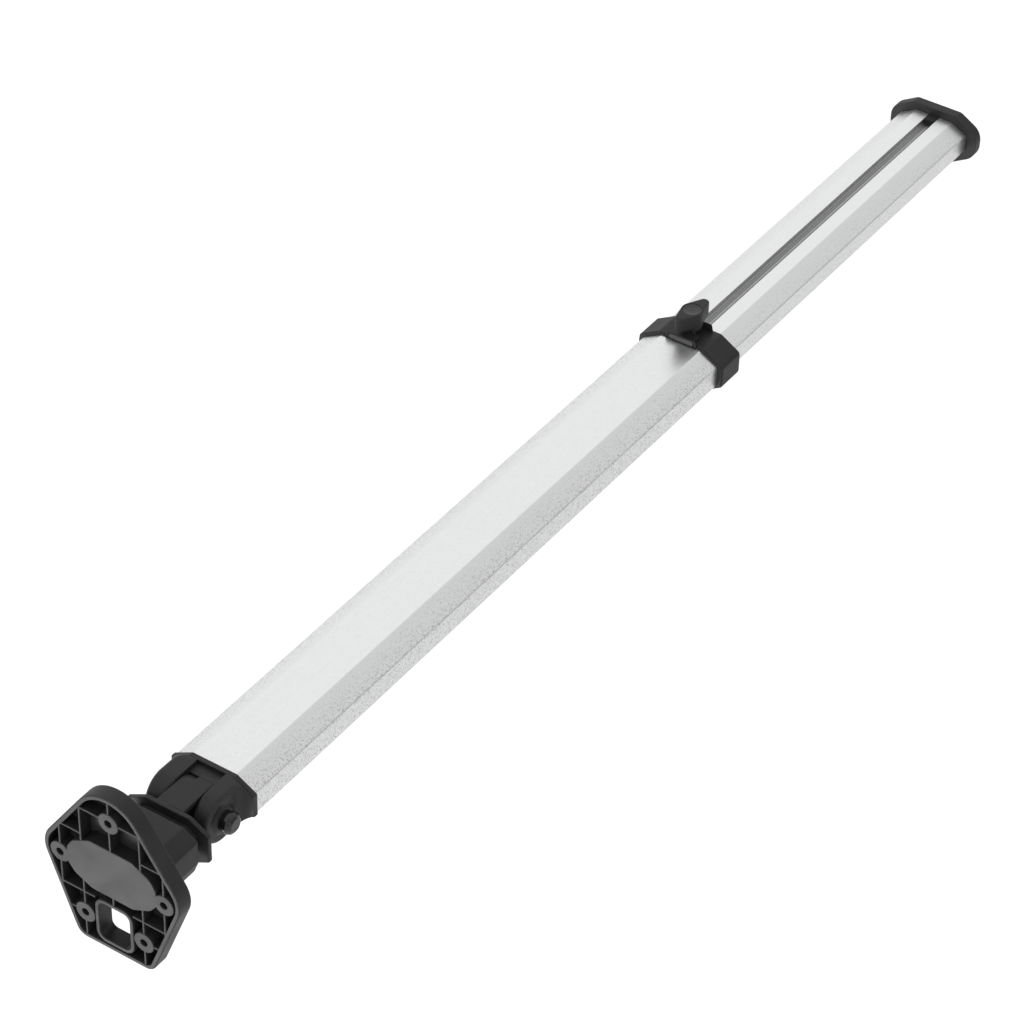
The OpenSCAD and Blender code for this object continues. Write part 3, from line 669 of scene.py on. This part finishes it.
sand_group, sand_in, sand_out = new_group(
    "blasted_metal", [("Grain Scale", 900.0), ("Line Scale", 700.0)], ["Height", "Shade", "Spark", "Pit"])
spot = node(sand_group, "TexCoord").outputs["Object"]
stretch = node(sand_group, "Mapping", Vector=spot, Scale=(0.012, 1.0, 1.0))
grain_scale, line_scale = sand_in.outputs["Grain Scale"], sand_in.outputs["Line Scale"]
lines = node(sand_group, "TexNoise", Vector=stretch.outputs["Vector"], Scale=line_scale, Detail=3.0)
sand = node(sand_group, "TexNoise", Vector=spot, Scale=grain_scale, Detail=3.0, Roughness=0.7)
shade = node(sand_group, "Math", {"operation": "MULTIPLY_ADD"}, n0=lines.outputs["Fac"], n1=0.5, n2=0.25)
shade = node(sand_group, "Math", {"operation": "MULTIPLY_ADD"}, n0=sand.outputs["Fac"], n1=0.5,
             n2=shade.outputs[0])
spark = node(sand_group, "MapRange", {"interpolation_type": "SMOOTHSTEP"}, Value=sand.outputs["Fac"])
spark.inputs["From Min"].default_value, spark.inputs["From Max"].default_value = 0.54, 0.68
pit = node(sand_group, "MapRange", {"interpolation_type": "SMOOTHSTEP"}, Value=sand.outputs["Fac"])
pit.inputs["From Min"].default_value, pit.inputs["From Max"].default_value = 0.49, 0.36
sand_group.links.new(pit.outputs["Result"], sand_out.inputs["Pit"])
relief = node(sand_group, "Math", {"operation": "MULTIPLY_ADD"}, n0=lines.outputs["Fac"], n1=0.2,
              n2=sand.outputs["Fac"])
sand_group.links.new(relief.outputs[0], sand_out.inputs["Height"])
sand_group.links.new(shade.outputs[0], sand_out.inputs["Shade"])
sand_group.links.new(spark.outputs["Result"], sand_out.inputs["Spark"])


def anodised(name, dark, light, rough):
    """Clear anodised aluminium: shade by the die lines and the sand grain, brighter sparks where the mesh's sand
    value is high, painted shade in the groove where its groove value is, and edges lighter by their edge value
    as rubbed metal and as a painted highlight."""
    material = bpy.data.materials.new(name)
    material.use_nodes = True
    tree = material.node_tree
    surface = tree.nodes["Principled BSDF"]
    skin = use_group(tree, sand_group)
    edges = use_group(tree, edge_wear_and_highlight_group, Amount=0.35, Scale=260.0)
    base = mix(tree, spread(tree, skin.outputs["Shade"], 0, 1), grey(dark, -0.005), grey(light, -0.005))
    sandy = node(tree, "Attribute", {"attribute_name": "sand"}).outputs["Fac"]
    groove_shade = node(tree, "Attribute", {"attribute_name": "groove"}).outputs["Fac"]
    pits = node(tree, "Math", {"operation": "MULTIPLY"}, n0=skin.outputs["Pit"], n1=sandy)
    sparks = node(tree, "Math", {"operation": "MULTIPLY"}, n0=skin.outputs["Spark"], n1=sandy)
    base = mix(tree, pits.outputs[0], base, grey(dark * 0.6, -0.005))
    base = mix(tree, sparks.outputs[0], base, grey(0.98, -0.005))
    # Painted shade: the groove value darkens the colour towards 0.10 to stand for the shade inside the groove.
    base = mix(tree, groove_shade, base, grey(0.10, -0.005))
    # Edge value: rubbed metal and a painted highlight along the edges.
    base = mix(tree, edges.outputs["Mask"], base, grey(0.95))
    tree.links.new(base, surface.inputs["Base Color"])
    tree.links.new(spread(tree, skin.outputs["Shade"], *rough), surface.inputs["Roughness"])
    surface.inputs["Metallic"].default_value = 1.0
    bumps = node(tree, "Bump", Strength=0.5, Distance=0.0001, Height=skin.outputs["Height"])
    tree.links.new(bumps.outputs["Normal"], surface.inputs["Normal"])
    return material


aluminium = anodised("aluminium", 0.80, 0.92, (0.46, 0.38))
TUBE = octagon(65, 34.5, 15.5, 8.5, 2.0)
TUBE_X0, TUBE_X1, WALL = 107.0, 692.0, 1.8
tube_rings = [(TUBE_X0, 0.3), (TUBE_X0 + 0.3, 0), (TUBE_X1 - 0.3, 0), (TUBE_X1, 0.3),
              (TUBE_X1, WALL), (TUBE_X0, WALL)]
tube = np.stack([np.insert(outline(TUBE, inset), 0, x, axis=1) for x, inset in tube_rings])
# Edge value on the ends' small chamfers: rubbed metal and a painted highlight along the cut edge.
corner_wear_and_highlight = np.array([1.0, 0, 0, 1, 0, 0])


def sand_value(points):
    """How strongly each point is blasted: full on the sloping faces and the sides, where
    the height is between the top's and the bottom's, and faint on the flat top and bottom."""
    top = np.abs(points[:, 2]).max()
    return np.where(np.abs(points[:, 2]) < top - 0.45, 1.0, 0.12)


tube_shell = shell(tube, corner_wear_and_highlight, "loop")
put("outer_tube_extrusion", [tube_shell], "bar", aluminium, ["outer_tube"],
    extra={"sand": sand_value(tube_shell[0])})

# ---------------------------------------------------------------- collar
# A black moulded collar over the tube's mouth, screwed on from below. A boss on its top holds the
# nut plate, which slides in from the front, and the clamping screw above the inner tube's groove.

collar_out = octagon(74, 38.2, 17.2, 10.0, 4.5)
collar_in = octagon(65.1, 34.6, 15.5, 8.5, 1.2)
mouth = octagon(61.4, 30.8, 14.1, 7.7, 1.2)
COLLAR_X0, COLLAR_X1 = 668.0, 694.0
lip = track([(COLLAR_X0, 2.2), (COLLAR_X0, 0.9, 0.25), (COLLAR_X0 + 1.4, 0.9, 0.1), (COLLAR_X0 + 1.8, 0, 0.4),
             (COLLAR_X1, 0, 1.6), (COLLAR_X1, 3.6)], 6)
collar_rings = [np.insert(outline(collar_in), 0, x, axis=1) for x in (674, COLLAR_X0)]
collar_rings += [np.insert(outline(collar_out, inset), 0, x, axis=1) for x, inset, _ in lip]
collar_rings += [np.insert(outline(mouth), 0, x, axis=1) for x in (COLLAR_X1, COLLAR_X1 - 1.9)]
# Edge value along the lip's rounded edges: wear and a painted edge highlight.
collar_wear_and_highlight = np.concatenate([[0, 0], lip[:, 2], [0, 0]])
SLOT = [(-10.3, 18.1, 0.3), (10.3, 18.1, 0.3), (10.3, 22.0, 0.3), (-10.3, 22.0, 0.3)]
boss_line = track([(COLLAR_X0, 0.6), (COLLAR_X0, 0, 0.4), (COLLAR_X0 + 4, 0), (676, 0), (693, 0, 1.5),
                   (693, 2.5)], 6)
boss_rings = [np.insert(outline(SLOT), 0, x, axis=1) for x in (678, COLLAR_X0)]


def boss_section(x):
    """The boss's outline at x: a trapezoid whose top ramps up from the plate's slot to full height."""
    top = 22.9 + 2.0 * np.clip((x - COLLAR_X0) / 8.0, 0, 1)
    return [(-14, 17, 0.3), (14, 17, 0.3), (12, top, 1.5), (-12, top, 1.5)]


boss_rings += [np.insert(outline(boss_section(x), inset), 0, x, axis=1) for x, inset, _ in boss_line]
boss = shell(np.stack(boss_rings), np.concatenate([[0, 0], boss_line[:, 2]]))
put("collar_moulding", [shell(np.stack(collar_rings), collar_wear_and_highlight, "loop"), boss], "bar",
    black_plastic, ["collar"])

plate_section = [(-10.1, 18.2, 0.8), (10.1, 18.2, 1.6), (10.1, 21.9, 1.6), (-10.1, 21.9, 0.8)]
nut_plate = shell(*stack(plate_section, [(667.4, 1.4), (667.4, 0, 0.5), (677, 0, 0.5), (677, 1.4)]))
plate_plastic = moulded("plate_plastic", 0.075, 0.10, (0.4, 0.5), 0.2, 2600.0, 0.3)
put("nut_plate_end", [nut_plate], "bar", plate_plastic, ["nut_plate"])

# ---------------------------------------------------------------- wing knob
# A black moulded knob with two wings, moulded round the clamping screw's head. A round cap is
# pressed into the dish in its top.

SCREW_X = 682.0
UPRIGHT = (1, 2, 0)
HUB_R, TIP_R, REACH = 8.6, 4.0, 13.5
WING_TURN = radians(-8)
around = np.linspace(0, 2 * np.pi, 120, endpoint=False)


def knob_ring(z, reach, inset=0.0, round_share=0.0):
    """Plan of the knob at height z: the hub's circle and two tip circles, joined by their common
    tangents. From the middle, the outline is at D cos a + sqrt(t^2 - D^2 sin^2 a) on a tip,
    R / cos(a - c) on a tangent and R on the hub, where cos c = (R - t) / D. round_share turns
    it towards a plain circle, for the dish."""
    a = np.arctan2(np.abs(np.sin(around)), np.abs(np.cos(around)))
    big, tip = HUB_R - inset, TIP_R - inset
    lean = np.arccos((big - tip) / reach)
    touch = np.arctan2(tip * np.sin(lean), reach + tip * np.cos(lean))
    on_tip = reach * np.cos(a) + np.sqrt(np.maximum(tip ** 2 - (reach * np.sin(a)) ** 2, 0))
    far = np.select([a > lean, a > touch], [big + 0 * a, big / np.cos(a - lean)], on_tip)
    far = (1 - round_share) * far + round_share * DISH_R
    turn = around + WING_TURN
    return np.stack([SCREW_X + far * np.cos(turn), far * np.sin(turn), z + 0 * far], -1)


DISH_R, ROUNDING = 7.3, 1.0
low_z, top_z = 25.0, 40.0
knob_rings = [knob_ring(low_z, 6.0, 0.6), knob_ring(low_z + 0.3, 6.0, 0.15), knob_ring(low_z + 0.9, 6.0)]
underside = ((26.0, 7.4), (26.9, 9.6), (27.8, 11.6), (28.6, 12.9), (29.6, REACH))
knob_rings += [knob_ring(z, reach) for z, reach in underside]
knob_rings += [knob_ring(top_z - ROUNDING * (1 - np.sin(t)), REACH, ROUNDING * (1 - np.cos(t)))
               for t in np.linspace(0, np.pi / 2, 6)]
knob_rings += [knob_ring(top_z, REACH, ROUNDING, share) for share in (0.5, 0.93, 1.0)]
knob_rings += [knob_ring(z, REACH, ROUNDING, 1.0) for z in (39.7, 38.6)]
# Edge value on the top's rounded edge: wear and a painted edge highlight.
knob_wear_and_highlight = np.array([0] * 8 + [0, 0.6, 1, 1, 0.6, 0] + [0] * 5, float)
put("wing_knob_moulding", [shell(np.stack(knob_rings), knob_wear_and_highlight)], "knob", black_plastic,
    ["wing_knob"])
cap_rows = [(38.5, 7.25), (39.75, 7.25, 0.25), (39.55, 6.7, 0.3), (38.95, 3.5, 6), (38.85, 0)]
put("knob_cap_disc", [shell(*turned(cap_rows, (SCREW_X, 0), 64, UPRIGHT))], "knob",
    moulded("cap_plastic", 0.026, 0.034, (0.3, 0.4), 0.12, 2000.0, 0.2), ["knob_cap"])

# ---------------------------------------------------------------- inner tube
# A smaller extrusion of the same alloy that slides in the outer tube. A groove runs along its top
# and bottom for the screw's shoe and the stop rivet; fine ridges from the die stand in its floor.

INNER_X0, INNER_X1 = 510.0, 1054.0
INNER_W, INNER_H, GROOVE, GROOVE_FLOOR = 30.3, 14.95, 4.8, 9.95
ridge_y = np.array([3.4, 2.9, 2.4, 0.9, 0.4, -0.4, -0.9, -2.4, -2.9, -3.4])
ridge_z = GROOVE_FLOOR + np.array([0, 0.35, 0, 0, 0.35, 0.35, 0, 0, 0.35, 0])
upper = [(INNER_W, INNER_H - 7.5, 2.0), (INNER_W - 13.9, INNER_H, 1.6), (GROOVE, INNER_H, 0.35),
         (GROOVE, GROOVE_FLOOR, 0.3)]
upper += [(y, z, 0.08) for y, z in zip(ridge_y, ridge_z)]
upper += [(-GROOVE, GROOVE_FLOOR, 0.3), (-GROOVE, INNER_H, 0.35), (-INNER_W + 13.9, INNER_H, 1.6),
          (-INNER_W, INNER_H - 7.5, 2.0)]
section = upper + [(-y, -z, r) for y, z, r in upper]
inner_rings = [(INNER_X0, 0.25), (INNER_X0 + 0.25, 0), (INNER_X1 - 0.5, 0), (INNER_X1, 0.4)]
inner = np.stack([np.insert(outline(section, inset, 4), 0, x, axis=1) for x, inset in inner_rings])
# Edge value on the cut ends: a painted highlight along the bright cut edge, with some wear.
inner_wear_and_highlight = np.array([1.0, 0, 0, 1])
inner_shell = shell(inner, inner_wear_and_highlight)
across, height = inner_shell[0][:, 1], np.abs(inner_shell[0][:, 2])
in_groove = (np.abs(across) < GROOVE + 0.06) & (height < INNER_H - 0.5)
# Painted shade in the groove: darkest on the near side, less on the floor, little on its ridges and far wall
groove_painted_shade = np.select([~in_groove, across < -2.35, across > 4.2, height > GROOVE_FLOOR + 0.25],
                  [0.0, 1.3, 0.35, 0.45], 0.72)
put("inner_tube_extrusion", [inner_shell], "slider", aluminium, ["inner_tube"],
    extra={"sand": 0.5 * sand_value(inner_shell[0]), "groove": groove_painted_shade})
refinish(black_plastic, "glide_plug", "end_plug")

# ---------------------------------------------------------------- end pad
# A thick eight-sided moulding screwed on the end plug. Its face is dished inside a raised border,
# and the two screw heads stand in counterbores.

PAD_X0, PAD_X1, PAD_DROP, SCREW_Y = 1054.0, 1063.0, 0.6, 17.0
SIDE_R, TOP_R, FACE_X = 14.0, 7.0, PAD_X1 - 0.8
end_section = [(y, z - PAD_DROP, SIDE_R if abs(y) > 30 else TOP_R) for y, z, r in octagon(79, 44, 19.7, 11.5, 0)]
pad_rows = [(PAD_X0, 8), (PAD_X0, 0, 1.0), (PAD_X1, 0, 1.5), (PAD_X1, 6, 0.6), (FACE_X, 6.6, 0.4), (FACE_X, 8)]
end_skin = shell(*stack(end_section, pad_rows, 8), ends="open")
end_back = flat(outline(end_section, 8, 8), [], PAD_X0, -1)
bores = [circle((s * SCREW_Y, 0), 4.2, 32) for s in (-1, 1)]
end_face = flat(outline(end_section, 8, 8), bores, FACE_X, 1)
bore_walls = []
for s in (-1, 1):
    rings, marks = turned([(FACE_X, 4.2), (PAD_X1 - 2.5, 4.2, 0.2), (PAD_X1 - 2.5, 0)], (s * SCREW_Y, 0), 32)
    points, faces, marks = shell(rings, marks, "open")
    bore_walls.append((points, [f[::-1] for f in faces], marks * 0))
put("end_pad_moulding", [end_skin, end_back, end_face, *bore_walls], "slider", black_plastic,
    ["end_pad"])

({"cad": [list(map(float, corner)) for corner in cad_box],
           "visual": [list(map(float, corner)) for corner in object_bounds()]})
